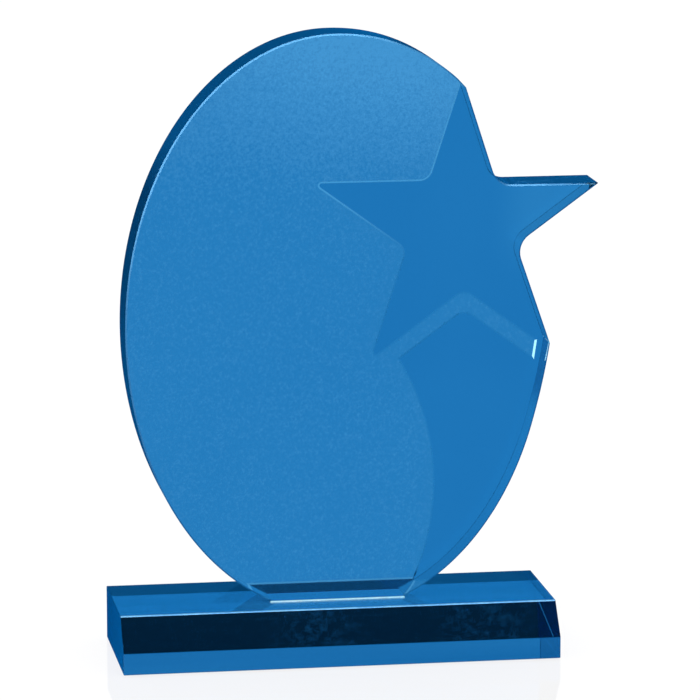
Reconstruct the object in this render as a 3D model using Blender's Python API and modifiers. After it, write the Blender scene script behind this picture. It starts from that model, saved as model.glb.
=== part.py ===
"""Star trophy: a desk award of clear blue acrylic.

A thick upright plate stands on a solid base block, joined to it by a clear bond film. The plate's outline is
an oval whose right side is cut back along a five-pointed star, and its back face is sand-carved everywhere
except over the star and the swoosh that trails below it.

Metres, +Z up, +Y towards the back. The origin is the centre of the base's underside.
"""

import math

import bmesh
import bpy
from mathutils import Vector

OBJECT_NAME = "star_trophy"

# The base and the plate are cut from the same 3/4 inch cast sheet.
STOCK = 0.019
ARRIS = 0.0001
ARRIS_ANGLE = math.radians(40)
FIT_GAP = 0.0003
WELD_DISTANCE = 0.00001

# Base block: a flat top, a sloped front and a short upright band below the slope.
BASE_WIDTH = 0.1562
BASE_DEPTH = 0.0558
BASE_HEIGHT = STOCK
SLOPE_RUN = 0.0097
FRONT_BAND = 0.0078

# Bond film between the base's top and the plate's foot.
BOND_THICKNESS = 0.0003
BOND_INSET = 0.0008

# Plate: depth of its front face, the oval's centre and half axes, and the power that fills its upper right.
PLATE_FRONT_Y = -0.0061
PLATE_BACK_Y = PLATE_FRONT_Y + STOCK
PLATE_FOOT_Z = BASE_HEIGHT + FIT_GAP + BOND_THICKNESS + FIT_GAP
OVAL_CENTRE = Vector((0.0012, 0.1181))
OVAL_HALF_WIDTH = 0.0753
OVAL_HALF_HEIGHT = 0.1041
OVAL_FULLNESS = 0.95
OVAL_STEP = math.radians(2)

# The star that the plate's right side is cut to, and the curve that takes its toe back to the oval.
STAR_CENTRE = Vector((0.0471, 0.1518))
STAR_RADIUS = 0.0506
STAR_JOIN_X = 0.0440
STAR_TOE = Vector((0.0779, 0.1100))
TOE_FOOT_Z = 0.0800
TOE_CURVE_REACH = 0.0161
TOE_CURVE_STEPS = 8
NOTCH_RADIUS = 0.0075
NOTCH_STEPS = 6
TIP_RADIUS = 0.0002
TIP_STEPS = 4

# The clear star, its chevron and its swoosh, left plain in the sand-carved back face.
CARVE_DEPTH = 0.0003
CARVE_FOOT_Z = 0.0226
CLEAR_CENTRE = Vector((0.0489, 0.1501))
CLEAR_RADIUS = 0.0566
CLEAR_NOTCH_RADIUS = 0.0050
CLEAR_TIP_RADIUS = 0.0008
CHEVRON_WIDTH = 0.0064
CHEVRON_END_MARGIN = 0.0022
SWOOSH_CENTRE = Vector((-0.0494, 0.0580))
SWOOSH_RADIUS = 0.0878
SWOOSH_STEPS = 24
CARVE_MARGIN = 0.010


def clear_scene():
    for item in list(bpy.data.objects):
        bpy.data.objects.remove(item, do_unlink=True)


def new_collection(name):
    collection = bpy.data.collections.new(name)
    bpy.context.scene.collection.children.link(collection)
    return collection


def acrylic_material(name, colour, roughness):
    material = bpy.data.materials.new(name)
    material.use_nodes = True
    shader = material.node_tree.nodes["Principled BSDF"]
    shader.inputs["Base Color"].default_value = (*colour, 1.0)
    shader.inputs["Metallic"].default_value = 0.0
    shader.inputs["Roughness"].default_value = roughness
    shader.inputs["IOR"].default_value = 1.49
    shader.inputs["Transmission Weight"].default_value = 0.9
    return material


def base_material():
    return acrylic_material("blue_acrylic_base", (0.006, 0.13, 0.42), 0.03)


def plate_material():
    return acrylic_material("blue_acrylic_plate", (0.012, 0.17, 0.48), 0.05)


def bond_material():
    return acrylic_material("clear_bond", (0.30, 0.55, 0.80), 0.05)


def flat_outline(name, points, thickness):
    """A closed outline, filled and given its thickness about its own plane."""
    curve = bpy.data.curves.new(name, "CURVE")
    curve.dimensions = "2D"
    curve.fill_mode = "BOTH"
    curve.extrude = thickness / 2
    spline = curve.splines.new("POLY")
    spline.points.add(len(points) - 1)
    for knot, point in zip(spline.points, points):
        knot.co = (point[0], point[1], 0.0, 1.0)
    spline.use_cyclic_u = True
    return bpy.data.objects.new(name, curve)


def stand_upright(item, middle_y):
    """Turn an outline drawn in X and Y so that it stands in X and Z, with its middle plane at middle_y."""
    item.rotation_euler = (math.radians(90), 0.0, 0.0)
    item.location = (0.0, middle_y, 0.0)


def mesh_from_outline(item, collection):
    """Swap an outline for the same shape as a welded mesh, which can be cut."""
    name = item.name
    bpy.context.scene.collection.objects.link(item)
    bpy.context.view_layer.update()
    evaluated = item.evaluated_get(bpy.context.evaluated_depsgraph_get())
    mesh = bpy.data.meshes.new_from_object(evaluated)
    body = bmesh.new()
    body.from_mesh(mesh)
    bmesh.ops.remove_doubles(body, verts=body.verts, dist=WELD_DISTANCE)
    bmesh.ops.recalc_face_normals(body, faces=body.faces)
    body.to_mesh(mesh)
    body.free()
    solid = bpy.data.objects.new(name + "_mesh", mesh)
    solid.matrix_world = item.matrix_world.copy()
    bpy.data.objects.remove(item, do_unlink=True)
    solid.name = name
    collection.objects.link(solid)
    return solid


def add_arris(item):
    """Break the sharp edges by a small polished flat."""
    arris = item.modifiers.new("arris", "BEVEL")
    arris.width = ARRIS
    arris.segments = 1
    arris.limit_method = "ANGLE"
    arris.angle_limit = ARRIS_ANGLE
    arris.use_clamp_overlap = True


def oval_point(angle):
    """A point on the oval, at an angle from +X towards +Z. Its upper right quarter is a little fuller."""
    across = math.cos(angle)
    up = math.sin(angle)
    if across > 0 and up > 0:
        across = across ** OVAL_FULLNESS
        up = up ** OVAL_FULLNESS
    return OVAL_CENTRE + Vector((OVAL_HALF_WIDTH * across, OVAL_HALF_HEIGHT * up))


def oval_angle_at_height(height):
    """The oval's angle at a height, on its right side."""
    return math.asin((height - OVAL_CENTRE.y) / OVAL_HALF_HEIGHT)


def right_foot_angle():
    return oval_angle_at_height(PLATE_FOOT_Z)


def left_foot_angle():
    return math.pi - oval_angle_at_height(PLATE_FOOT_Z)


def oval_arc(start, end):
    """Points along the oval from one angle to the other, at most OVAL_STEP apart."""
    steps = max(1, math.ceil(abs(end - start) / OVAL_STEP))
    return [oval_point(start + (end - start) * step / steps) for step in range(steps + 1)]


def star_tip(centre, radius, index):
    """Tip number index of an upright star: 0 is the top, and they count clockwise."""
    angle = math.radians(90 - 72 * index)
    return centre + Vector((math.cos(angle), math.sin(angle))) * radius


def star_notch(centre, radius, index):
    """The notch that follows tip number index."""
    inner = radius * math.cos(math.radians(72)) / math.cos(math.radians(36))
    angle = math.radians(54 - 72 * index)
    return centre + Vector((math.cos(angle), math.sin(angle))) * inner


def rounded(before, corner, after, radius, steps):
    """An arc that rounds the corner between two straight sides."""
    back = (before - corner).normalized()
    ahead = (after - corner).normalized()
    half = back.angle(ahead) / 2
    middle = corner + (back + ahead).normalized() * (radius / math.sin(half))
    reach = radius / math.tan(half)
    first = corner + back * reach - middle
    sweep = first.angle_signed(corner + ahead * reach - middle)
    arc = []
    for step in range(steps + 1):
        turn = -sweep * step / steps
        spoke = Vector((first.x * math.cos(turn) - first.y * math.sin(turn),
                        first.x * math.sin(turn) + first.y * math.cos(turn)))
        arc.append(middle + spoke)
    return arc


def toe_control():
    """The control point of the curve below the star's toe, on the oval's tangent where that curve ends."""
    angle = oval_angle_at_height(TOE_FOOT_Z)
    tangent = Vector((-OVAL_HALF_WIDTH * math.sin(angle), OVAL_HALF_HEIGHT * math.cos(angle))).normalized()
    return oval_point(angle) + tangent * TOE_CURVE_REACH


def toe_curve(start):
    """The curve from the toe back to the oval, without its two end points."""
    control = toe_control()
    end = oval_point(oval_angle_at_height(TOE_FOOT_Z))
    points = []
    for step in range(1, TOE_CURVE_STEPS):
        share = step / TOE_CURVE_STEPS
        points.append(start.lerp(control, share).lerp(control.lerp(end, share), share))
    return points


def plate_outline():
    """The oval from its left foot over the top, then the star's right side, then the oval's right foot."""
    top = star_tip(STAR_CENTRE, STAR_RADIUS, 0)
    upper_notch = star_notch(STAR_CENTRE, STAR_RADIUS, 0)
    arm = star_tip(STAR_CENTRE, STAR_RADIUS, 1)
    side_notch = star_notch(STAR_CENTRE, STAR_RADIUS, 1)
    join_share = (STAR_JOIN_X - OVAL_CENTRE.x) / OVAL_HALF_WIDTH
    join_angle = math.acos(join_share ** (1 / OVAL_FULLNESS))
    points = oval_arc(left_foot_angle(), math.pi / 2)
    points += oval_arc(math.pi / 2, join_angle)[1:]
    points += rounded(points[-1], top, upper_notch, TIP_RADIUS, TIP_STEPS)
    points += rounded(top, upper_notch, arm, NOTCH_RADIUS, NOTCH_STEPS)
    points += rounded(upper_notch, arm, side_notch, TIP_RADIUS, TIP_STEPS)
    points += rounded(arm, side_notch, STAR_TOE, NOTCH_RADIUS, NOTCH_STEPS)
    points += rounded(side_notch, STAR_TOE, toe_control(), TIP_RADIUS, TIP_STEPS)
    points += toe_curve(points[-1])
    points += oval_arc(oval_angle_at_height(TOE_FOOT_Z), right_foot_angle())
    return points


def crossing(start, end, other_start, other_end):
    """Where two lines, each given by two points, cross."""
    along = end - start
    other = other_end - other_start
    share = (other_start - start).cross(other) / along.cross(other)
    return start + along * share


def swoosh_point(height):
    """The swoosh's left edge at a height: an arc of a large circle."""
    rise = height - SWOOSH_CENTRE.y
    return Vector((SWOOSH_CENTRE.x + math.sqrt(SWOOSH_RADIUS ** 2 - rise ** 2), height))


def carved_outline():
    """The sand-carved field: round the outside of the oval, then along the clear star, chevron and swoosh."""
    top, right, low_right, low_left, left = [star_tip(CLEAR_CENTRE, CLEAR_RADIUS, tip) for tip in range(5)]
    low_notch = star_notch(CLEAR_CENTRE, CLEAR_RADIUS, 2)
    left_notch = star_notch(CLEAR_CENTRE, CLEAR_RADIUS, 3)
    upper_notch = star_notch(CLEAR_CENTRE, CLEAR_RADIUS, 4)
    outer_left = OVAL_CENTRE.x - OVAL_HALF_WIDTH - CARVE_MARGIN
    outer_top = OVAL_CENTRE.y + OVAL_HALF_HEIGHT + CARVE_MARGIN
    points = [Vector((outer_left, CARVE_FOOT_Z)), Vector((outer_left, outer_top)),
              Vector((top.x, outer_top)), top]
    points += rounded(top, upper_notch, left, CLEAR_NOTCH_RADIUS, NOTCH_STEPS)
    points += rounded(upper_notch, left, left_notch, CLEAR_TIP_RADIUS, TIP_STEPS)
    points += rounded(left, left_notch, low_left, CLEAR_NOTCH_RADIUS, NOTCH_STEPS)
    points += rounded(left_notch, low_left, low_notch, CLEAR_TIP_RADIUS, TIP_STEPS)
    points += rounded(low_left, low_notch, low_right, CLEAR_NOTCH_RADIUS, NOTCH_STEPS)

    fall_left = (low_left - right).normalized()
    fall_right = (low_right - left).normalized()
    shift_left = Vector((-fall_left.y, fall_left.x)) * CHEVRON_WIDTH
    shift_right = Vector((fall_right.y, -fall_right.x)) * CHEVRON_WIDTH
    lower_peak = crossing(right + shift_left, low_left + shift_left,
                          left + shift_right, low_right + shift_right)
    end_top = STAR_TOE - Vector((CHEVRON_END_MARGIN, 0))
    end_low = end_top + toe_control() - STAR_TOE
    points.append(crossing(low_notch, low_notch + fall_right, end_top, end_low))
    points.append(crossing(lower_peak, lower_peak + fall_right, end_top, end_low))
    swoosh_top = swoosh_start(lower_peak, fall_left)
    points += rounded(points[-1], lower_peak, swoosh_top, CLEAR_NOTCH_RADIUS, NOTCH_STEPS)
    for step in range(SWOOSH_STEPS + 1):
        height = swoosh_top.y + (CARVE_FOOT_Z - swoosh_top.y) * step / SWOOSH_STEPS
        points.append(swoosh_point(height))
    return points


def swoosh_start(peak, fall):
    """Where the chevron's lower left edge, falling from its peak, meets the swoosh's left edge."""
    offset = peak - SWOOSH_CENTRE
    half_b = offset.dot(fall)
    run = -half_b - math.sqrt(half_b ** 2 - offset.length_squared + SWOOSH_RADIUS ** 2)
    return peak + fall * run


def base_block(collection):
    """The base's side profile, swept across its width."""
    front = -BASE_DEPTH / 2
    back = BASE_DEPTH / 2
    profile = [(back, 0.0), (back, BASE_HEIGHT), (front + SLOPE_RUN, BASE_HEIGHT),
               (front, FRONT_BAND), (front, 0.0)]
    block = flat_outline("base_block", profile, BASE_WIDTH)
    block.rotation_euler = (math.radians(90), 0.0, math.radians(90))
    collection.objects.link(block)
    weld = block.modifiers.new("weld", "WELD")
    weld.merge_threshold = WELD_DISTANCE
    add_arris(block)
    block.data.materials.append(base_material())
    return block


def carve_cutter(collection):
    """The tool that sinks the carved field into the plate's back face."""
    outline = flat_outline("carve_cutter", carved_outline(), 2 * CARVE_DEPTH)
    stand_upright(outline, PLATE_BACK_Y)
    cutter = mesh_from_outline(outline, collection)
    cutter.hide_render = True
    cutter.display_type = "WIRE"
    return cutter


def award_plate(collection, cutter):
    """The upright plate, with its polished arris and its carved back."""
    outline = flat_outline("award_plate", plate_outline(), STOCK)
    stand_upright(outline, (PLATE_FRONT_Y + PLATE_BACK_Y) / 2)
    plate = mesh_from_outline(outline, collection)
    add_arris(plate)
    carve = plate.modifiers.new("carve", "BOOLEAN")
    carve.operation = "DIFFERENCE"
    carve.solver = "MANIFOLD"
    carve.object = cutter
    plate.data.materials.clear()
    plate.data.materials.append(plate_material())
    plate.data.shade_smooth()
    plate.data.set_sharp_from_angle(angle=ARRIS_ANGLE)
    return plate


def bond_film(collection):
    """The clear adhesive under the plate's foot, a little short of its edges."""
    left = oval_point(left_foot_angle()).x + BOND_INSET
    right = oval_point(right_foot_angle()).x - BOND_INSET
    middle = ((left + right) / 2, (PLATE_FRONT_Y + PLATE_BACK_Y) / 2,
              PLATE_FOOT_Z - FIT_GAP - BOND_THICKNESS / 2)
    bpy.ops.mesh.primitive_cube_add(size=1.0, location=middle)
    film = bpy.context.object
    film.name = "bond_film"
    film.scale = (right - left, STOCK - 2 * BOND_INSET, BOND_THICKNESS)
    for owner in list(film.users_collection):
        owner.objects.unlink(film)
    collection.objects.link(film)
    film.data.materials.append(bond_material())
    return film


def build():
    clear_scene()
    parts = new_collection(OBJECT_NAME)
    cutters = new_collection(OBJECT_NAME + "_cutters")
    base_block(parts)
    bond_film(parts)
    award_plate(parts, carve_cutter(cutters))


build()
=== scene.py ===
"""Star trophy: the looks of a clear blue acrylic award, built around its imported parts."""

import math

import bmesh
import bpy
from mathutils import Euler, Matrix, Vector


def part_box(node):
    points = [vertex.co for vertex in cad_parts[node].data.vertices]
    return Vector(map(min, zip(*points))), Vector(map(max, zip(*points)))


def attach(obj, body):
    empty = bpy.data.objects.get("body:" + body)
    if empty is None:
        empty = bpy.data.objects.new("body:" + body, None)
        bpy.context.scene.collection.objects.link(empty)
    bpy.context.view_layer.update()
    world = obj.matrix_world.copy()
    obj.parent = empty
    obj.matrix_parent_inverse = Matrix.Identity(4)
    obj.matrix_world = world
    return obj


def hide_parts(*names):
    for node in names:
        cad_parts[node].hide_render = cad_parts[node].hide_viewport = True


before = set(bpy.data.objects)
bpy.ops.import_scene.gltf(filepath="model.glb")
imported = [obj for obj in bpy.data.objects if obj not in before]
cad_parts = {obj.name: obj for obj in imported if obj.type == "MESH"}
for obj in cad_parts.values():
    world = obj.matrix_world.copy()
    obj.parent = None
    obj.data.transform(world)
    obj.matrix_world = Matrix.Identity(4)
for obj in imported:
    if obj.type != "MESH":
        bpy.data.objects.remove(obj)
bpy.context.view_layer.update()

BASE_LOW, BASE_HIGH = (Vector(corner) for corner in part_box("base_block"))
PLATE_LOW, PLATE_HIGH = (Vector(corner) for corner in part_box("award_plate"))

# The plate's outline: an oval, a little fuller at its upper right, whose right side is cut back along a star.
BEAD_HEIGHT = 0.0005
FOOT_Z = BASE_HIGH.z + BEAD_HEIGHT
OVAL_CENTRE = Vector((0.0012, 0.1181))
OVAL_HALF_WIDTH = 0.0753
OVAL_HALF_HEIGHT = 0.1041
OVAL_FULLNESS = 0.95
OVAL_LEFT_STEPS = 320
OVAL_TOP_STEPS = 110
OVAL_RIGHT_STEPS = 100
STAR_CENTRE = Vector((0.0471, 0.1518))
STAR_RADIUS = 0.0506
STAR_JOIN_X = 0.0440
STAR_TOE = Vector((0.0779, 0.1100))
TOE_FOOT_Z = 0.0800
TOE_CURVE_REACH = 0.0161
TOE_CURVE_STEPS = 32
NOTCH_RADIUS = 0.0075
NOTCH_STEPS = 20
TIP_RADIUS = 0.0002
TIP_STEPS = 8
LEAST_RADIUS = 0.00005
SKIN = 0.00002
FRONT_ARRIS = 0.00055
BACK_ARRIS = 0.00010
RIM_FACE_AREA = 0.00005
CRISP_ANGLE = math.radians(28)

# The back face: sand-carved round a clear star and beside a clear swoosh, with a carved chevron between them.
CARVE_DEPTH = 0.0003
CARVE_FOOT_Z = 0.0226
CLEAR_CENTRE = Vector((0.0489, 0.1501))
CLEAR_RADIUS = 0.0566
CLEAR_NOTCH_RADIUS = 0.0050
CLEAR_TIP_RADIUS = 0.0008
CHEVRON_WIDTH = 0.0064
CHEVRON_END_MARGIN = 0.0022
CHEVRON_RAMP = 0.0009
SWOOSH_CENTRE = Vector((-0.0494, 0.0580))
SWOOSH_RADIUS = 0.0878
SWOOSH_STEPS = 60
CARVE_MARGIN = 0.010
STEP_RUN = 0.0006

# The base's slope, and the adhesive bead round the plate's foot.
SLOPE_RUN = 0.0097
FRONT_BAND = 0.0078
CROWN_ARRIS = 0.00045
LONG_ARRIS = 0.0003
BAND_ARRIS = 0.0002
END_ARRIS = 0.00012
BASE_ARRIS_STEPS = 3
BEAD_SPREAD = 0.0003
BEAD_CLEARANCE = 0.00002
BEAD_RINGS = 5
SAME_SPOT = 0.0001
LONG_EDGE = 0.01
SQUARE_ON = 0.999

# What each face of the plate is, as its material index. The base's ends and crown come after its joint.
FACE, ARRIS, JOINT, CARVED, STEP, RUN_OUT, RIM = range(7)
END = CARVED
CROWN = STEP

# Acrylic colours: each material drifts between a deep and a pale tone.
ACRYLIC_BLUE = (0.0135, 0.188, 0.508)
PLATE_DEEP = (0.0128, 0.184, 0.502)
PLATE_PALE = (0.0142, 0.192, 0.514)
# A paler tone on part of the star's free arm.
ARM_PALE_TONE = (0.0215, 0.220, 0.550)
BASE_DEEP = (0.0105, 0.170, 0.480)
BASE_PALE = (0.0150, 0.194, 0.520)
# The oval rim's two tones below are painted shade: the dark navy of a shaded edge.
RIM_SHADE_DEEP = (0.0003, 0.043, 0.152)
RIM_SHADE_PALE = (0.0005, 0.051, 0.172)
MIRROR_BLUE = (0.0030, 0.165, 0.500)
FROST_DEEP = (0.031, 0.246, 0.568)
FROST_PALE = (0.270, 0.560, 0.920)
# The carving side's two tones below: the paler high one is painted light.
STEP_LOW = (0.023, 0.225, 0.550)
STEP_HIGH = (0.260, 0.590, 0.960)
RUN_OUT_DEEP = (0.80, 0.94, 1.0)
RUN_OUT_PALE = (1.0, 1.0, 1.0)
# The bead front's two tones below are a painted highlight: a pale line.
BEAD_HIGHLIGHT_DEEP = (0.50, 0.86, 1.0)
BEAD_HIGHLIGHT_PALE = (0.68, 0.95, 1.0)
# The base crown's two tones below are a painted highlight: a pale line along it.
CROWN_HIGHLIGHT_DEEP = (0.16, 0.48, 0.92)
CROWN_HIGHLIGHT_PALE = (0.25, 0.62, 1.0)
# The arrises' two tones below are painted shade: a dark tint for dark edge lines.
ARRIS_SHADE_DEEP = (0.0012, 0.050, 0.176)
ARRIS_SHADE_PALE = (0.0022, 0.072, 0.230)
END_DEEP = (0.0003, 0.104, 0.385)
END_PALE = (0.0005, 0.158, 0.530)
GLINT_COLOUR = (3.6, 1.6, 1.1, 1.0)
ACRYLIC_IOR = 1.49

# How much light passes through each dulled surface, and how much the slope's smudges stop and roughen.
END_CLARITY = 0.44
CROWN_HIGHLIGHT_CLARITY = 0.12
TOE_CLARITY = 0.35
BEAD_CLARITY = 0.06
SMUDGE_HAZE = 0.12
SMUDGE_ROUGHNESS = 0.05

# Patterns: two spans of a noise's values, how many waves a pattern has in a metre, and how deep a surface's
# waves are.
NOISE_MIDDLE = (0.35, 0.65)
NOISE_WIDE = (0.30, 0.70)
CLOUD_SCALE = 14.0
BUFFING_SCALE = 45.0
HAIR_STRETCH = (18.0, 400.0, 900.0)
HAIR_TURNS = ((0.2, 0.5, 0.3), (0.2, 2.1, 0.3))
HAIR_ROUGHNESS = 0.015
BAND_STRETCH = (3.0, 210.0, 90.0)
SAW_STRETCH = (1.0, 900.0, 40.0)
SMUDGE_STRETCH = (1.0, 1.3, 1.3)
SMUDGE_SCALE = 320.0
GRAIN_SCALE = 2300.0
SPECKLE_SCALE = 1000.0
DRIFT_SCALE = 38.0
POLISH_WAVES = (30.0, 0.000004)
BASE_WAVES = (30.0, 0.000003)
SAWN_WAVES = (60.0, 0.000006)
SCRAPED_WAVES = (260.0, 0.00002)
GRAIN_DEPTH = 0.0001
GRAIN_STRENGTH = 0.25

# Where each mark starts and ends, along X or Z.
ARM_PALE_X = (0.056, 0.073)
ARM_PALE_Z = (0.130, 0.152)
STAR_RIM_X = (0.020, 0.044)
TOE_RUB_X = (0.064, 0.072)
TOE_RUB_LOW_Z = (0.084, 0.096)
TOE_RUB_HIGH_Z = (0.111, 0.118)
MIDDLE_SMUDGE_X = ((-0.030, -0.012), (-0.006, 0.014))
RIGHT_SMUDGE_X = ((0.030, 0.046), (0.058, 0.074))
RIGHT_SMUDGE_SHARE = 0.8
SMUDGE_FLOOR = 0.12
# Painted light: where the carving's side turns paler going up.
STEP_LIGHT_Z = (0.138, 0.168)

# The frost: paler towards the top and the right, as painted light from above and the right, with a pale line
# along its foot.
FROST_LIGHT_Z = (0.152, 0.25)
FROST_TOP_LIGHT = 1.45
FROST_LIGHT_SIDE_X = (-0.09, 0.03)
FROST_LEFT_LIGHT_SHARE = 0.35
FROST_DRIFT = 0.14
FROST_TEXTURE = 1.05
FROST_TEXTURE_GAIN = 0.9
FOOT_LINE_Z = (CARVE_FOOT_Z + 0.0004, CARVE_FOOT_Z + 0.0009)
FOOT_LINE_STRENGTH = 1.4

# Light: what a ray meets overhead, at the horizon, below the set and on the floor at its sides. Elevations
# are in degrees, and REARWARD is how directions along Y turn from the set's front to its rear.
CEILING_ELEVATIONS = (22, 28)
CEILING_LEVEL = 0.08
HORIZON_ELEVATIONS = (0, 14)
HORIZON_LEVEL = 0.88
UNDERSIDE_ELEVATIONS = (-5, -1)
UNDERSIDE_LEVEL = 0.07
SIDE_FLOOR_ELEVATIONS = (-3, 3)
SIDE_FLOOR_LEVEL = 0.45
REARWARD = (-0.15, 0.15)

# A light-blue ring of lamps over the set, which the trophy's outside mirrors: its place along Y, how far it
# blurs, and how it fades low down and to the right.
RING_FRONT = -0.29
RING_REAR = 0.01
RING_BLUR = 0.05
RING_RISE = (-0.25, 0.35)
RING_LOW_LEVEL = 0.20
RING_SIDE = (0.25, 0.60)
RING_RIGHT_LEVEL = 0.25
RING_COLOUR = (3.6, 9.6, 15.5, 1)

# The floor: how bright its light and its own glow are, and how the two and its polish mix.
FLOOR_LIGHT = 1.16
FLOOR_GLOW = 1.08
FLOOR_GLOW_SHARE = 0.85
FLOOR_POLISH = 0.13
FLOOR_WHITE = (0.90, 0.90, 0.90, 1)
FLOOR_SIZE = 24.0
FLOOR_DROP = 0.0003

BLACK = (0.0, 0.0, 0.0, 1)
WHITE = (1.0, 1.0, 1.0, 1)

# The camera: a long lens, a little to the left of the award and above it. Angles are in degrees.
CAMERA_SENSOR = 36.0
CAMERA_LENS = 238.0
CAMERA_REACH = 60.0
CAMERA_PLACE = Vector((-0.24629, -1.59438, 0.41568))
CAMERA_HEADING = 9.0146
CAMERA_TILT = -10.7722

# How often light may turn inside the acrylic.
MAX_BOUNCES = 24
INNER_BOUNCES = 16


# ---------------------------------------------------------------- outlines


def oval_point(angle, inset=0.0):
    """A point on the oval, at an angle from +X towards +Z."""
    across = math.cos(angle)
    up = math.sin(angle)
    if across > 0 and up > 0:
        across = across ** OVAL_FULLNESS
        up = up ** OVAL_FULLNESS
    return OVAL_CENTRE + Vector(((OVAL_HALF_WIDTH - inset) * across, (OVAL_HALF_HEIGHT - inset) * up))


def oval_angle_at_height(height, inset=0.0):
    """The angle of the oval's lower right point at a height."""
    return math.asin((height - OVAL_CENTRE.y) / (OVAL_HALF_HEIGHT - inset))


def oval_arc(start, end, steps, inset):
    """The oval's points from one angle to another."""
    return [oval_point(start + (end - start) * step / steps, inset) for step in range(steps + 1)]


def star_tip(centre, radius, index):
    """Tip number index of an upright star: 0 is the top, and they count clockwise."""
    angle = math.radians(90 - 72 * index)
    return centre + Vector((math.cos(angle), math.sin(angle))) * radius


def star_notch(centre, radius, index):
    """The notch that follows tip number index."""
    inner = radius * math.cos(math.radians(72)) / math.cos(math.radians(36))
    angle = math.radians(54 - 72 * index)
    return centre + Vector((math.cos(angle), math.sin(angle))) * inner


def inward(start, end):
    """The inner side's direction, square to one side of an outline that runs clockwise."""
    ahead = (end - start).normalized()
    return Vector((ahead.y, -ahead.x))


def moved_in(points, inset):
    """A clockwise outline with every side moved in by the same distance."""
    moved = []
    for index, corner in enumerate(points):
        first = inward(points[index - 1], corner)
        second = inward(corner, points[(index + 1) % len(points)])
        moved.append(corner + (first + second) * (inset / (1 + first.dot(second))))
    return moved


def rounded(before, corner, after, radius, steps, inset=0.0):
    """An arc that rounds the corner between two straight sides, which may both be moved in."""
    first_in = inward(before, corner)
    second_in = inward(corner, after)
    back = (before - corner).normalized()
    ahead = (after - corner).normalized()
    bulges = back.cross(ahead) > 0
    radius = max(radius - inset, LEAST_RADIUS) if bulges else radius + inset
    corner = corner + (first_in + second_in) * (inset / (1 + first_in.dot(second_in)))
    half = back.angle(ahead) / 2
    middle = corner + (back + ahead).normalized() * (radius / math.sin(half))
    reach = radius / math.tan(half)
    first = corner + back * reach - middle
    sweep = first.angle_signed(corner + ahead * reach - middle)
    arc = []
    for step in range(steps + 1):
        turn = -sweep * step / steps
        spoke = Vector((first.x * math.cos(turn) - first.y * math.sin(turn),
                        first.x * math.sin(turn) + first.y * math.cos(turn)))
        arc.append(middle + spoke)
    return arc


def crossing(start, end, other_start, other_end):
    """Where two lines meet."""
    along = end - start
    other = other_end - other_start
    return start + along * ((other_start - start).cross(other) / along.cross(other))


FOOT_LEFT = oval_point(math.pi - oval_angle_at_height(FOOT_Z)).x
FOOT_RIGHT = oval_point(oval_angle_at_height(FOOT_Z)).x


def toe_control(inset=0.0):
    """The control point of the curve below the star's toe, on the oval's tangent where that curve ends."""
    angle = oval_angle_at_height(TOE_FOOT_Z)
    tangent = Vector((-OVAL_HALF_WIDTH * math.sin(angle), OVAL_HALF_HEIGHT * math.cos(angle))).normalized()
    return oval_point(angle, inset) + tangent * TOE_CURVE_REACH


def toe_curve(start, inset):
    """The curve from the toe back to the oval, without its two end points."""
    control = toe_control(inset)
    end = oval_point(oval_angle_at_height(TOE_FOOT_Z), inset)
    points = []
    for step in range(1, TOE_CURVE_STEPS):
        share = step / TOE_CURVE_STEPS
        points.append(start.lerp(control, share).lerp(control.lerp(end, share), share))
    return points


def plate_outline(inset):
    """The oval from its left foot over the top, then the star's right side, then the oval's right foot."""
    top = star_tip(STAR_CENTRE, STAR_RADIUS, 0)
    upper_notch = star_notch(STAR_CENTRE, STAR_RADIUS, 0)
    arm = star_tip(STAR_CENTRE, STAR_RADIUS, 1)
    side_notch = star_notch(STAR_CENTRE, STAR_RADIUS, 1)
    join_share = (STAR_JOIN_X - OVAL_CENTRE.x) / OVAL_HALF_WIDTH
    join_angle = math.acos(join_share ** (1 / OVAL_FULLNESS))
    foot_angle = oval_angle_at_height(FOOT_Z, inset)
    points = oval_arc(math.pi - foot_angle, math.pi / 2, OVAL_LEFT_STEPS, inset)
    points += oval_arc(math.pi / 2, join_angle, OVAL_TOP_STEPS, inset)[1:]
    points += rounded(oval_point(join_angle), top, upper_notch, TIP_RADIUS, TIP_STEPS, inset)
    points += rounded(top, upper_notch, arm, NOTCH_RADIUS, NOTCH_STEPS, inset)
    points += rounded(upper_notch, arm, side_notch, TIP_RADIUS, TIP_STEPS, inset)
    points += rounded(arm, side_notch, STAR_TOE, NOTCH_RADIUS, NOTCH_STEPS, inset)
    points += rounded(side_notch, STAR_TOE, toe_control(), TIP_RADIUS, TIP_STEPS, inset)
    points += toe_curve(points[-1], inset)
    points += oval_arc(oval_angle_at_height(TOE_FOOT_Z), foot_angle, OVAL_RIGHT_STEPS, inset)
    return points


def swoosh_point(height):
    """The swoosh's left edge at a height."""
    rise = height - SWOOSH_CENTRE.y
    return Vector((SWOOSH_CENTRE.x + math.sqrt(SWOOSH_RADIUS ** 2 - rise ** 2), height))


def swoosh_start(peak, fall):
    """Where the chevron's lower left edge, falling from its peak, meets the swoosh's left edge."""
    offset = peak - SWOOSH_CENTRE
    half_b = offset.dot(fall)
    run = -half_b - math.sqrt(half_b ** 2 - offset.length_squared + SWOOSH_RADIUS ** 2)
    return peak + fall * run


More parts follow.
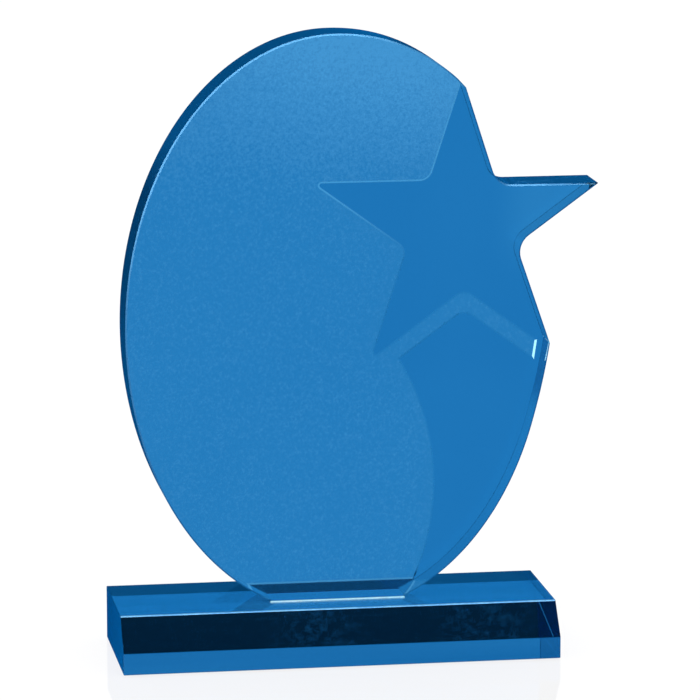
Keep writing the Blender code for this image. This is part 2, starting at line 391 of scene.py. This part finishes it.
def carved_outline(end_margin):
    """The sand-carved field: round the outside of the oval, then along the star, chevron and swoosh.

    It comes with the number of the side that ends the chevron.
    """
    top, right, low_right, low_left, left = [star_tip(CLEAR_CENTRE, CLEAR_RADIUS, tip) for tip in range(5)]
    low_notch, left_notch, upper_notch = [star_notch(CLEAR_CENTRE, CLEAR_RADIUS, tip) for tip in (2, 3, 4)]
    outer_left = PLATE_LOW.x - CARVE_MARGIN
    outer_top = PLATE_HIGH.z + CARVE_MARGIN
    points = [Vector((outer_left, CARVE_FOOT_Z)), Vector((outer_left, outer_top)),
              Vector((top.x, outer_top)), top]
    points += rounded(top, upper_notch, left, CLEAR_NOTCH_RADIUS, NOTCH_STEPS)
    points += rounded(upper_notch, left, left_notch, CLEAR_TIP_RADIUS, TIP_STEPS)
    points += rounded(left, left_notch, low_left, CLEAR_NOTCH_RADIUS, NOTCH_STEPS)
    points += rounded(left_notch, low_left, low_notch, CLEAR_TIP_RADIUS, TIP_STEPS)
    points += rounded(low_left, low_notch, low_right, CLEAR_NOTCH_RADIUS, NOTCH_STEPS)

    fall_left = (low_left - right).normalized()
    fall_right = (low_right - left).normalized()
    shift_left = Vector((-fall_left.y, fall_left.x)) * CHEVRON_WIDTH
    shift_right = Vector((fall_right.y, -fall_right.x)) * CHEVRON_WIDTH
    lower_peak = crossing(right + shift_left, low_left + shift_left,
                          left + shift_right, low_right + shift_right)
    end_top = STAR_TOE - Vector((end_margin, 0))
    end_low = end_top + toe_control() - STAR_TOE
    chevron_end = len(points)
    points.append(crossing(low_notch, low_notch + fall_right, end_top, end_low))
    points.append(crossing(lower_peak, lower_peak + fall_right, end_top, end_low))
    swoosh_top = swoosh_start(lower_peak, fall_left)
    points += rounded(points[-1], lower_peak, swoosh_top, CLEAR_NOTCH_RADIUS, NOTCH_STEPS)
    for step in range(SWOOSH_STEPS + 1):
        height = swoosh_top.y + (CARVE_FOOT_Z - swoosh_top.y) * step / SWOOSH_STEPS
        points.append(swoosh_point(height))
    return points, chevron_end


# ---------------------------------------------------------------- meshes


def loft(rings):
    """A closed body through rings of equal length, each a list of (x, y, z), from one end to the other."""
    body = bmesh.new()
    levels = [[body.verts.new(point) for point in ring] for ring in rings]
    ends = [body.faces.new(levels[0]), body.faces.new(list(reversed(levels[-1])))]
    sides = []
    for near, far in zip(levels, levels[1:]):
        count = len(near)
        strip = []
        for step in range(count):
            following = (step + 1) % count
            strip.append(body.faces.new((near[step], far[step], far[following], near[following])))
        sides.append(strip)
    bmesh.ops.recalc_face_normals(body, faces=body.faces)
    return body, ends, sides


def bevel_edges(body, chosen, width, segments, kind):
    """Take the chosen edges off, and say what the new faces are."""
    made = bmesh.ops.bevel(body, geom=chosen, offset=width, offset_type="OFFSET", segments=segments,
                           profile=0.5, affect="EDGES", clamp_overlap=True)
    for face in made["faces"]:
        face.material_index = kind


def finish_mesh(body, name):
    mesh = bpy.data.meshes.new(name)
    body.to_mesh(mesh)
    body.free()
    return mesh


def smooth_rims(mesh, flat_area):
    """Shade the rims and arrises smooth along their run, and keep every flat face and every border crisp."""
    body = bmesh.new()
    body.from_mesh(mesh)
    for face in body.faces:
        face.smooth = face.calc_area() < flat_area and face.material_index in (FACE, ARRIS, RIM)
    for edge in body.edges:
        kinds = {face.material_index for face in edge.link_faces}
        turn = edge.calc_face_angle(0.0)
        edge.smooth = len(kinds) == 1 and (turn < CRISP_ANGLE or kinds == {ARRIS})
    body.to_mesh(mesh)
    body.free()


def add_piece(name, mesh, materials):
    piece = bpy.data.objects.new(name, mesh)
    bpy.context.scene.collection.objects.link(piece)
    for material in materials:
        piece.data.materials.append(material)
    return piece


def upright_ring(outline, depth):
    return [(point.x, depth, point.y) for point in outline]


def carve_cutter(materials):
    """The carved field's tool, whose sloping sides leave the step that sand leaves round a mask."""
    rings = []
    for side in (1, -1):
        end_shift = (CHEVRON_RAMP - STEP_RUN) * side
        outline, chevron_end = carved_outline(CHEVRON_END_MARGIN + end_shift)
        outline = moved_in(outline, STEP_RUN * side)
        outline[0].y = outline[-1].y = CARVE_FOOT_Z
        rings.append(upright_ring(outline, PLATE_HIGH.y - CARVE_DEPTH * side))
    body, ends, sides = loft(rings)
    for face in ends:
        face.material_index = CARVED
    for face in sides[0]:
        face.material_index = STEP
    sides[0][chevron_end].material_index = RUN_OUT
    return add_piece("carve_cutter", finish_mesh(body, "carve_cutter"), materials)


def carve_back(plate, materials):
    """Sink the sand-carved field into the plate's back face."""
    cutter = carve_cutter(materials)
    carve = plate.modifiers.new("carve", "BOOLEAN")
    carve.operation = "DIFFERENCE"
    carve.solver = "MANIFOLD"
    carve.object = cutter
    bpy.context.view_layer.update()
    evaluated = plate.evaluated_get(bpy.context.evaluated_depsgraph_get())
    mesh = bpy.data.meshes.new_from_object(evaluated)
    plate.modifiers.clear()
    plate.data = mesh
    bpy.data.objects.remove(cutter, do_unlink=True)


def plate_piece(materials):
    """The upright plate: a chamfer at the front, the rim, a small chamfer at the back, and the carving."""
    levels = [(FRONT_ARRIS, PLATE_LOW.y), (0.0, PLATE_LOW.y + FRONT_ARRIS),
              (0.0, PLATE_HIGH.y - BACK_ARRIS), (BACK_ARRIS, PLATE_HIGH.y)]
    body, _ends, sides = loft([upright_ring(plate_outline(SKIN + inset), depth) for inset, depth in levels])
    for face in sides[0]:
        face.material_index = ARRIS
    for face in sides[1]:
        face.material_index = RIM
    for strip in sides:
        strip[-1].material_index = JOINT
    plate = add_piece("clear_star_plate", finish_mesh(body, "clear_star_plate"), materials)
    carve_back(plate, materials)
    smooth_rims(plate.data, RIM_FACE_AREA)
    return plate


def base_piece(materials):
    """The base block, with its top face divided where the plate and its bead stand on it."""
    front = BASE_LOW.y
    back = BASE_HIGH.y
    top = BASE_HIGH.z
    crown = (front + SLOPE_RUN, top)
    shoulder = (front, FRONT_BAND)
    profile = [(back, BASE_LOW.z), (back, top), crown, shoulder, (front, BASE_LOW.z)]
    body = loft([[(x, y, z) for y, z in profile] for x in (BASE_LOW.x, BASE_HIGH.x)])[0]
    long_edges = [edge for edge in body.edges if abs(edge.verts[0].co.x - edge.verts[1].co.x) > LONG_EDGE]
    widths = {}
    for edge in long_edges:
        spot = Vector(edge.verts[0].co.yz)
        near_crown = (spot - Vector(crown)).length < SAME_SPOT
        near_shoulder = (spot - Vector(shoulder)).length < SAME_SPOT
        width = CROWN_ARRIS if near_crown else BAND_ARRIS if near_shoulder else LONG_ARRIS
        widths.setdefault(width, []).append(edge)
    for width, edges in widths.items():
        bevel_edges(body, edges, width, BASE_ARRIS_STEPS, CROWN if width == CROWN_ARRIS else ARRIS)
    ends = [edge for edge in body.edges
            if sum(abs(face.normal.x) > SQUARE_ON for face in edge.link_faces) == 1]
    bevel_edges(body, ends, END_ARRIS, 1, ARRIS)
    bead_left, bead_right = FOOT_LEFT - BEAD_SPREAD, FOOT_RIGHT + BEAD_SPREAD
    bead_front, bead_back = PLATE_LOW.y - BEAD_SPREAD, PLATE_HIGH.y + BEAD_SPREAD
    cuts = [((bead_left, 0, 0), (1, 0, 0)), ((bead_right, 0, 0), (1, 0, 0)),
            ((0, bead_front, 0), (0, 1, 0)), ((0, bead_back, 0), (0, 1, 0))]
    for point, normal in cuts:
        top_faces = [face for face in body.faces if face.normal.z > SQUARE_ON]
        edges = dict.fromkeys(edge for face in top_faces for edge in face.edges)
        verts = dict.fromkeys(vert for face in top_faces for vert in face.verts)
        bmesh.ops.bisect_plane(body, geom=[*verts, *edges, *top_faces], plane_co=point, plane_no=normal)
    for face in body.faces:
        centre = face.calc_center_median()
        bonded = bead_left < centre.x < bead_right and bead_front < centre.y < bead_back
        if face.normal.z > SQUARE_ON and bonded:
            face.material_index = JOINT
        if abs(face.normal.x) > SQUARE_ON:
            face.material_index = END
    base = add_piece("clear_base_block", finish_mesh(body, "clear_base_block"), materials)
    smooth_rims(base.data, 0.0)
    return base


def bead_piece(materials):
    """The adhesive under the foot, with the small hollow fillet that it leaves all round."""
    low = BASE_HIGH.z + BEAD_CLEARANCE
    high = FOOT_Z - BEAD_CLEARANCE
    body = bmesh.new()
    rings = []
    for step in range(BEAD_RINGS):
        turn = math.radians(90) * step / (BEAD_RINGS - 1)
        out = BEAD_SPREAD * (1 - math.sin(turn))
        rise = low + (high - low) * (1 - math.cos(turn))
        corners = [(FOOT_LEFT - out, PLATE_LOW.y - out), (FOOT_RIGHT + out, PLATE_LOW.y - out),
                   (FOOT_RIGHT + out, PLATE_HIGH.y + out), (FOOT_LEFT - out, PLATE_HIGH.y + out)]
        rings.append([body.verts.new((x, y, rise)) for x, y in corners])
    for face in (body.faces.new(rings[0]), body.faces.new(rings[-1])):
        face.material_index = JOINT
    for lower, upper in zip(rings, rings[1:]):
        for side in range(4):
            ahead = (side + 1) % 4
            body.faces.new((lower[side], lower[ahead], upper[ahead], upper[side]))
    bmesh.ops.recalc_face_normals(body, faces=body.faces)
    # Only the bead's front faces take the pale painted highlight; its other faces stay clear.
    for face in body.faces:
        if face.material_index == FACE and face.normal.y < -0.1:
            face.material_index = ARRIS
    return add_piece("adhesive_bead", finish_mesh(body, "adhesive_bead"), materials)


# ---------------------------------------------------------------- shader nodes


def add_node(tree, kind, **inputs):
    node = tree.nodes.new(kind)
    for name, value in inputs.items():
        node.inputs[name].default_value = value
    return node


def maths(tree, operation, first, second=None):
    """A Math node on numbers or sockets."""
    node = tree.nodes.new("ShaderNodeMath")
    node.operation = operation
    for socket, value in zip(node.inputs, (first, second)):
        if value is None:
            continue
        if isinstance(value, (int, float)):
            socket.default_value = value
        else:
            tree.links.new(value, socket)
    return node.outputs["Value"]


def mix_colour(tree, factor, first, second):
    """The first colour at factor 0, the second at 1."""
    node = tree.nodes.new("ShaderNodeMix")
    node.data_type = "RGBA"
    colour_inputs = [socket for socket in node.inputs if socket.type == "RGBA"]
    for socket, value in [(node.inputs["Factor"], factor), *zip(colour_inputs, (first, second))]:
        if isinstance(value, bpy.types.NodeSocket):
            tree.links.new(value, socket)
        else:
            socket.default_value = value
    return [socket for socket in node.outputs if socket.type == "RGBA"][0]


def smooth_step(tree, value, low, high, at_low, at_high):
    """A value that turns smoothly from at_low to at_high as its input goes from low to high."""
    node = tree.nodes.new("ShaderNodeMapRange")
    node.interpolation_type = "SMOOTHSTEP"
    for name, number in (("From Min", low), ("From Max", high), ("To Min", at_low), ("To Max", at_high)):
        node.inputs[name].default_value = number
    tree.links.new(value, node.inputs["Value"])
    return node.outputs["Result"]


def rising(tree, value, span):
    """0 before a span and 1 after it."""
    return smooth_step(tree, value, *span, 0.0, 1.0)


def falling(tree, value, span):
    """1 before a span and 0 after it."""
    return smooth_step(tree, value, *span, 1.0, 0.0)


def less(tree, amount, share):
    """1, less a share of an amount."""
    return maths(tree, "SUBTRACT", 1.0, maths(tree, "MULTIPLY", amount, share))


# ---------------------------------------------------------------- materials


def acrylic(name, colour, roughness):
    """A clear Principled material, and its node tree and shader."""
    material = bpy.data.materials.new(name)
    material.use_nodes = True
    shader = material.node_tree.nodes["Principled BSDF"]
    shader.inputs["Base Color"].default_value = (*colour, 1.0)
    shader.inputs["Roughness"].default_value = roughness
    shader.inputs["IOR"].default_value = ACRYLIC_IOR
    shader.inputs["Transmission Weight"].default_value = 1.0
    return material, material.node_tree, shader


def scaled_noise(tree, place, scale, detail, roughness=0.5):
    """Noise with so many waves a metre."""
    noise = add_node(tree, "ShaderNodeTexNoise", Scale=scale, Detail=detail, Roughness=roughness)
    tree.links.new(place, noise.inputs["Vector"])
    return noise.outputs["Fac"]


def object_place(tree, stretch=(1.0, 1.0, 1.0), turn=(0.0, 0.0, 0.0)):
    """Where a point is on the object, in metres, stretched and turned for a pattern with a direction."""
    place = tree.nodes.new("ShaderNodeTexCoord").outputs["Object"]
    mapping = add_node(tree, "ShaderNodeMapping", Scale=stretch, Rotation=turn)
    tree.links.new(place, mapping.inputs["Vector"])
    return mapping.outputs["Vector"]


def split_place(tree):
    """Where a point is on the object, as its X, Y and Z."""
    split = tree.nodes.new("ShaderNodeSeparateXYZ")
    tree.links.new(object_place(tree), split.inputs["Vector"])
    return split.outputs["X"], split.outputs["Y"], split.outputs["Z"]


def product(tree, *values):
    """All the values multiplied together."""
    result = values[0]
    for value in values[1:]:
        result = maths(tree, "MULTIPLY", result, value)
    return result


def mottle(tree, scale, deep, pale, detail=3.0):
    """A colour that drifts between two tones."""
    drift = rising(tree, scaled_noise(tree, object_place(tree), scale, detail), NOISE_MIDDLE)
    return mix_colour(tree, drift, (*deep, 1), (*pale, 1))


def grazed(tree, shader, scale, low, high, detail=3.0):
    """A roughness that varies at the scale of fine scraping or blasting."""
    scrape = scaled_noise(tree, object_place(tree), scale, detail)
    tree.links.new(smooth_step(tree, scrape, *NOISE_WIDE, low, high), shader.inputs["Roughness"])


def handling_marks(tree):
    """How rough a polished face is: buffed unevenly, with a few hairline scratches."""
    buffing = scaled_noise(tree, object_place(tree), BUFFING_SCALE, 4.0)
    marks = smooth_step(tree, buffing, 0.35, 0.70, 0.010, 0.024)
    for turn in HAIR_TURNS:
        hairs = scaled_noise(tree, object_place(tree, HAIR_STRETCH, turn), 1.0, 2.0)
        marks = maths(tree, "ADD", marks, smooth_step(tree, hairs, 0.70, 0.78, 0.0, HAIR_ROUGHNESS))
    return marks


def faint_waves(tree, shader, scale, distance):
    """The slight unevenness of a polished or sawn face."""
    bump = add_node(tree, "ShaderNodeBump", Strength=1.0, Distance=distance)
    tree.links.new(scaled_noise(tree, object_place(tree), scale, 2.0), bump.inputs["Height"])
    tree.links.new(bump.outputs["Normal"], shader.inputs["Normal"])


def plate_acrylic():
    """Polished cast acrylic, very slightly cloudier in places, and paler on part of the star's free arm."""
    material, tree, shader = acrylic("polished_plate_acrylic", ACRYLIC_BLUE, 0.015)
    tree.links.new(handling_marks(tree), shader.inputs["Roughness"])
    across, _depth, height = split_place(tree)
    on_arm = product(tree, rising(tree, across, ARM_PALE_X), rising(tree, height, ARM_PALE_Z))
    colour = mix_colour(tree, on_arm, mottle(tree, CLOUD_SCALE, PLATE_DEEP, PLATE_PALE), (*ARM_PALE_TONE, 1))
    tree.links.new(colour, shader.inputs["Base Color"])
    faint_waves(tree, shader, *POLISH_WAVES)
    return material


def rim_acrylic():
    """The plate's sawn and flamed rim: painted shade, a dark navy tint round the oval, and rubbed dull at the
    star's toe.
    """
    material, tree, shader = acrylic("flamed_rim_painted_shade", RIM_SHADE_DEEP, 0.015)
    tree.links.new(handling_marks(tree), shader.inputs["Roughness"])
    across, _depth, height = split_place(tree)
    colour = mix_colour(tree, rising(tree, across, STAR_RIM_X), mottle(tree, CLOUD_SCALE, RIM_SHADE_DEEP, RIM_SHADE_PALE),
                        mottle(tree, CLOUD_SCALE, PLATE_DEEP, PLATE_PALE))
    tree.links.new(colour, shader.inputs["Base Color"])
    by_toe = product(tree, rising(tree, across, TOE_RUB_X), rising(tree, height, TOE_RUB_LOW_Z),
                     falling(tree, height, TOE_RUB_HIGH_Z))
    tree.links.new(less(tree, by_toe, 1.0 - TOE_CLARITY), shader.inputs["Transmission Weight"])
    faint_waves(tree, shader, *POLISH_WAVES)
    return material


def base_acrylic():
    """The base's polished acrylic: faint bands along its length, and rubbed smudges on its slope."""
    material, tree, shader = acrylic("polished_base_acrylic", ACRYLIC_BLUE, 0.015)
    bands = scaled_noise(tree, object_place(tree, BAND_STRETCH), 1.0, 2.0)
    colour = mix_colour(tree, rising(tree, bands, (0.38, 0.62)), (*BASE_DEEP, 1), (*BASE_PALE, 1))
    tree.links.new(colour, shader.inputs["Base Color"])
    across, depth, height = split_place(tree)
    on_slope = product(tree, maths(tree, "LESS_THAN", depth, BASE_LOW.y + SLOPE_RUN),
                       maths(tree, "GREATER_THAN", height, FRONT_BAND))
    middle, right = [product(tree, rising(tree, across, start), falling(tree, across, end))
                     for start, end in (MIDDLE_SMUDGE_X, RIGHT_SMUDGE_X)]
    right = maths(tree, "MULTIPLY", right, RIGHT_SMUDGE_SHARE)
    patches = maths(tree, "ADD", maths(tree, "ADD", middle, right), SMUDGE_FLOOR)
    rubs = scaled_noise(tree, object_place(tree, SMUDGE_STRETCH), SMUDGE_SCALE, 5.0, 0.7)
    smudges = product(tree, on_slope, patches, rising(tree, rubs, (0.42, 0.72)))
    rough = maths(tree, "ADD", handling_marks(tree), maths(tree, "MULTIPLY", smudges, SMUDGE_ROUGHNESS))
    tree.links.new(rough, shader.inputs["Roughness"])
    tree.links.new(less(tree, smudges, SMUDGE_HAZE), shader.inputs["Transmission Weight"])
    faint_waves(tree, shader, *BASE_WAVES)
    return material


def end_acrylic():
    """The base's sawn ends, buffed but not as clear as its faces, and deeper in colour towards the back."""
    material, tree, shader = acrylic("buffed_end_acrylic", END_DEEP, 0.05)
    shader.inputs["Transmission Weight"].default_value = END_CLARITY
    saw = scaled_noise(tree, object_place(tree, SAW_STRETCH), 1.0, 3.0)
    tree.links.new(smooth_step(tree, saw, *NOISE_WIDE, 0.03, 0.10), shader.inputs["Roughness"])
    _across, depth, _height = split_place(tree)
    forward = falling(tree, depth, (BASE_LOW.y, BASE_HIGH.y))
    streaks = maths(tree, "MULTIPLY", maths(tree, "SUBTRACT", saw, 0.5), 0.5)
    colour = mix_colour(tree, maths(tree, "ADD", forward, streaks), (*END_DEEP, 1), (*END_PALE, 1))
    tree.links.new(colour, shader.inputs["Base Color"])
    faint_waves(tree, shader, *SAWN_WAVES)
    return material


def arris_acrylic():
    """Scraped and flame-dulled corners, tinted dark as painted shade so that they hold little light of their
    own, and catching the lamps.
    """
    material, tree, shader = acrylic("scraped_arris_painted_shade", ARRIS_SHADE_DEEP, 0.12)
    tree.links.new(mottle(tree, 130.0, ARRIS_SHADE_DEEP, ARRIS_SHADE_PALE), shader.inputs["Base Color"])
    grazed(tree, shader, 420.0, 0.07, 0.20)
    faint_waves(tree, shader, *SCRAPED_WAVES)
    return material


def crown_highlight_acrylic():
    """The base's top front corner, rough, with a pale and mostly opaque painted highlight along its whole
    length.
    """
    material, tree, shader = acrylic("crown_painted_highlight", CROWN_HIGHLIGHT_PALE, 0.25)
    shader.inputs["Transmission Weight"].default_value = CROWN_HIGHLIGHT_CLARITY
    tree.links.new(mottle(tree, 90.0, CROWN_HIGHLIGHT_DEEP, CROWN_HIGHLIGHT_PALE, 4.0), shader.inputs["Base Color"])
    grazed(tree, shader, 600.0, 0.18, 0.35, 2.0)
    return material


def frosted_acrylic():
    """Sand-carved acrylic: a fine grain that drifts in tone, painted light that pales it towards the top and
    the right, and a paler line along the carving's foot.
    """
    material, tree, shader = acrylic("sand_carved_acrylic", FROST_DEEP, 0.22)
    place = object_place(tree)
    across, _depth, height = split_place(tree)
    grain = scaled_noise(tree, place, GRAIN_SCALE, 2.0, 0.7)
    speckle = scaled_noise(tree, place, SPECKLE_SCALE, 2.0, 0.6)
    cloud = scaled_noise(tree, place, DRIFT_SCALE, 4.0, 0.55)
    # Painted light: the frost turns paler towards the top and the right.
    top_light = smooth_step(tree, height, *FROST_LIGHT_Z, 0.0, FROST_TOP_LIGHT)
    side = smooth_step(tree, across, *FROST_LIGHT_SIDE_X, FROST_LEFT_LIGHT_SHARE, 1.0)
    drift = maths(tree, "MULTIPLY", maths(tree, "SUBTRACT", cloud, 0.5), FROST_DRIFT)
    frost_tone_and_light = maths(tree, "ADD", maths(tree, "MULTIPLY", top_light, side), drift)
    frost_tone_and_light = maths(tree, "ADD", frost_tone_and_light, smooth_step(tree, height, *FOOT_LINE_Z, FOOT_LINE_STRENGTH, 0.0))
    texture = maths(tree, "ADD", maths(tree, "SUBTRACT", grain, 0.5), maths(tree, "SUBTRACT", speckle, 0.5))
    strength = maths(tree, "ADD", FROST_TEXTURE, product(tree, frost_tone_and_light, frost_tone_and_light, FROST_TEXTURE_GAIN))
    frost_tone_and_light = maths(tree, "ADD", frost_tone_and_light, maths(tree, "MULTIPLY", texture, strength))
    colour = mix_colour(tree, frost_tone_and_light, (*FROST_DEEP, 1), (*FROST_PALE, 1))
    tree.links.new(colour, shader.inputs["Base Color"])
    tree.links.new(smooth_step(tree, speckle, *NOISE_WIDE, 0.18, 0.26), shader.inputs["Roughness"])
    bump = add_node(tree, "ShaderNodeBump", Strength=GRAIN_STRENGTH, Distance=GRAIN_DEPTH)
    tree.links.new(grain, bump.inputs["Height"])
    tree.links.new(bump.outputs["Normal"], shader.inputs["Normal"])
    return material


def step_acrylic():
    """The carving's sloping side, where the sand only grazed the acrylic: paler towards the top, painted
    light like the frost's.
    """
    material, tree, shader = acrylic("carved_step", STEP_LOW, 0.25)
    _across, _depth, height = split_place(tree)
    colour = mix_colour(tree, rising(tree, height, STEP_LIGHT_Z), (*STEP_LOW, 1), (*STEP_HIGH, 1))
    tree.links.new(colour, shader.inputs["Base Color"])
    grazed(tree, shader, 700.0, 0.15, 0.30)
    return material


def run_out_acrylic():
    """The blasted run-out at the chevron's end, almost clear, with an emission that stands for its glint."""
    material, tree, shader = acrylic("chevron_run_out", RUN_OUT_PALE, 0.15)
    tree.links.new(mottle(tree, 300.0, RUN_OUT_DEEP, RUN_OUT_PALE), shader.inputs["Base Color"])
    grazed(tree, shader, 900.0, 0.08, 0.20)
    shader.inputs["Emission Color"].default_value = GLINT_COLOUR
    shader.inputs["Emission Strength"].default_value = 1.0
    return material


def bead_front_highlight():
    """The adhesive's outer line on its front faces: a painted highlight, pale and milky, a little clearer in
    places.
    """
    material, tree, shader = acrylic("bead_painted_highlight", BEAD_HIGHLIGHT_PALE, 0.20)
    shader.inputs["Transmission Weight"].default_value = BEAD_CLARITY
    tree.links.new(mottle(tree, 110.0, BEAD_HIGHLIGHT_DEEP, BEAD_HIGHLIGHT_PALE), shader.inputs["Base Color"])
    grazed(tree, shader, 500.0, 0.12, 0.30, 2.0)
    return material


def optical_joint():
    """Faces that are bonded to the next piece: light passes through them unbent."""
    material = bpy.data.materials.new("bonded_face")
    material.use_nodes = True
    tree = material.node_tree
    tree.nodes.remove(tree.nodes["Principled BSDF"])
    through = add_node(tree, "ShaderNodeBsdfTransparent")
    tree.links.new(through.outputs["BSDF"], tree.nodes["Material Output"].inputs["Surface"])
    return material


# ---------------------------------------------------------------- stage and light


def sines(elevations):
    """How high a direction points at each elevation."""
    return [math.sin(math.radians(degrees)) for degrees in elevations]


def studio_world():
    """Bright-field studio: a bright surround under a dark ceiling, with an even light for dull surfaces.

    A ray that was turned inside the acrylic and leaves it downwards finds the dark underside of the set. A
    mirror image on the trophy's outside has the tone of the acrylic, with the light-blue ring of lamps in it.
    """
    world = bpy.data.worlds.new("studio")
    world.use_nodes = True
    world.cycles.sampling_method = "NONE"
    bpy.context.scene.world = world
    tree = world.node_tree
    path = tree.nodes.new("ShaderNodeLightPath")
    direction = tree.nodes.new("ShaderNodeTexCoord")
    split = tree.nodes.new("ShaderNodeSeparateXYZ")
    tree.links.new(direction.outputs["Generated"], split.inputs["Vector"])
    across, depth, height = split.outputs["X"], split.outputs["Y"], split.outputs["Z"]

    ceiling = smooth_step(tree, height, *sines(CEILING_ELEVATIONS), 1.0, CEILING_LEVEL)
    haze = smooth_step(tree, height, *sines(HORIZON_ELEVATIONS), 1.0, HORIZON_LEVEL)
    surround = maths(tree, "MULTIPLY", ceiling, haze)

    inside = maths(tree, "GREATER_THAN", path.outputs["Transmission Depth"], 0.5)
    turned = maths(tree, "GREATER_THAN", path.outputs["Glossy Depth"], 0.5)
    turned_again = maths(tree, "GREATER_THAN", path.outputs["Glossy Depth"], 1.5)
    under = smooth_step(tree, height, *sines(UNDERSIDE_ELEVATIONS), UNDERSIDE_LEVEL, 1.0)
    rearward = rising(tree, depth, REARWARD)
    open_below = maths(tree, "MULTIPLY", rearward, maths(tree, "SUBTRACT", 1.0, turned_again))
    darker = maths(tree, "MULTIPLY", turned, maths(tree, "SUBTRACT", 1.0, open_below))
    below = maths(tree, "ADD", 1.0, maths(tree, "MULTIPLY", darker, maths(tree, "SUBTRACT", under, 1.0)))
    seen_through = maths(tree, "MULTIPLY", surround, below)

    floor_side = smooth_step(tree, height, *sines(SIDE_FLOOR_ELEVATIONS), SIDE_FLOOR_LEVEL, 1.0)
    mirrored = maths(tree, "MULTIPLY", surround, floor_side)
    blurred = maths(tree, "SUBTRACT", 1.0, path.outputs["Is Singular Ray"])
    outer = maths(tree, "MULTIPLY", maths(tree, "SUBTRACT", 1.0, inside), blurred)

    ring = product(tree, rising(tree, depth, (RING_FRONT, RING_FRONT + RING_BLUR)),
                   falling(tree, depth, (RING_REAR - RING_BLUR, RING_REAR)),
                   smooth_step(tree, height, *RING_RISE, RING_LOW_LEVEL, 1.0),
                   smooth_step(tree, across, *RING_SIDE, 1.0, RING_RIGHT_LEVEL),
                   maths(tree, "SUBTRACT", 1.0, turned_again))

    through_colour = mix_colour(tree, seen_through, BLACK, WHITE)
    mirror_colour = mix_colour(tree, mirrored, BLACK, (*MIRROR_BLUE, 1))
    mirror_colour = mix_colour(tree, ring, mirror_colour, RING_COLOUR)
    glass = mix_colour(tree, outer, through_colour, mirror_colour)
    unlit = mix_colour(tree, path.outputs["Is Camera Ray"], glass, WHITE)
    lit = maths(tree, "GREATER_THAN", path.outputs["Diffuse Depth"], 0.5)
    shown = mix_colour(tree, lit, unlit, (FLOOR_LIGHT, FLOOR_LIGHT, FLOOR_LIGHT, 1))
    tree.links.new(shown, tree.nodes["Background"].inputs["Color"])


def floor_material():
    """A white studio floor with a faint polish, part lit and part glowing so that its shadows stay soft."""
    material = bpy.data.materials.new("floor_white")
    material.use_nodes = True
    tree = material.node_tree
    tree.nodes.remove(tree.nodes["Principled BSDF"])
    matt = add_node(tree, "ShaderNodeBsdfDiffuse", Color=FLOOR_WHITE)
    glow = add_node(tree, "ShaderNodeEmission", Color=WHITE, Strength=FLOOR_GLOW)
    polish = add_node(tree, "ShaderNodeBsdfGlossy", Roughness=0.0)
    ground = tree.nodes.new("ShaderNodeMixShader")
    ground.inputs["Fac"].default_value = FLOOR_GLOW_SHARE
    tree.links.new(matt.outputs["BSDF"], ground.inputs[1])
    tree.links.new(glow.outputs["Emission"], ground.inputs[2])
    surface = tree.nodes.new("ShaderNodeMixShader")
    surface.inputs["Fac"].default_value = FLOOR_POLISH
    tree.links.new(ground.outputs["Shader"], surface.inputs[1])
    tree.links.new(polish.outputs["BSDF"], surface.inputs[2])
    tree.links.new(surface.outputs["Shader"], tree.nodes["Material Output"].inputs["Surface"])
    return material


def floor_stage():
    """The studio floor, a hair below the base so that the two don't touch."""
    bpy.ops.mesh.primitive_plane_add(size=FLOOR_SIZE, location=(0.0, 0.0, -FLOOR_DROP))
    floor = bpy.context.object
    floor.name = "studio_floor"
    floor.visible_glossy = False
    floor.visible_transmission = False
    floor.data.materials.append(floor_material())


def photo_camera():
    """The camera at the photograph's viewing angle."""
    data = bpy.data.cameras.new("camera")
    data.sensor_width = CAMERA_SENSOR
    data.lens = CAMERA_LENS
    data.clip_end = CAMERA_REACH
    camera = bpy.data.objects.new("camera", data)
    turn = Euler((math.radians(90 + CAMERA_TILT), 0.0, math.radians(-CAMERA_HEADING)))
    camera.matrix_world = Matrix.Translation(CAMERA_PLACE) @ turn.to_matrix().to_4x4()
    bpy.context.scene.collection.objects.link(camera)
    bpy.context.scene.camera = camera


# ---------------------------------------------------------------- scene


def build():
    """The camera, the set, and the three pieces that stand for the CAD's."""
    photo_camera()
    studio_world()
    floor_stage()

    arris = arris_acrylic()
    joint = optical_joint()
    plate = plate_piece([plate_acrylic(), arris, joint, frosted_acrylic(), step_acrylic(), run_out_acrylic(),
                         rim_acrylic()])
    base = base_piece([base_acrylic(), arris, joint, end_acrylic(), crown_highlight_acrylic()])
    bead = bead_piece([plate.data.materials[FACE], bead_front_highlight(), joint])
    for piece, node, slot in ((plate, "award_plate", "plate_acrylic"), (base, "base_block", "base_acrylic"),
                              (bead, "bond_film", "bond_adhesive")):
        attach(piece, "root")
        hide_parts(node)

    scene = bpy.context.scene
    scene.view_settings.view_transform = "Standard"
    scene.cycles.max_bounces = MAX_BOUNCES
    scene.cycles.glossy_bounces = INNER_BOUNCES
    scene.cycles.transmission_bounces = INNER_BOUNCES
    scene.cycles.transparent_max_bounces = INNER_BOUNCES


build()
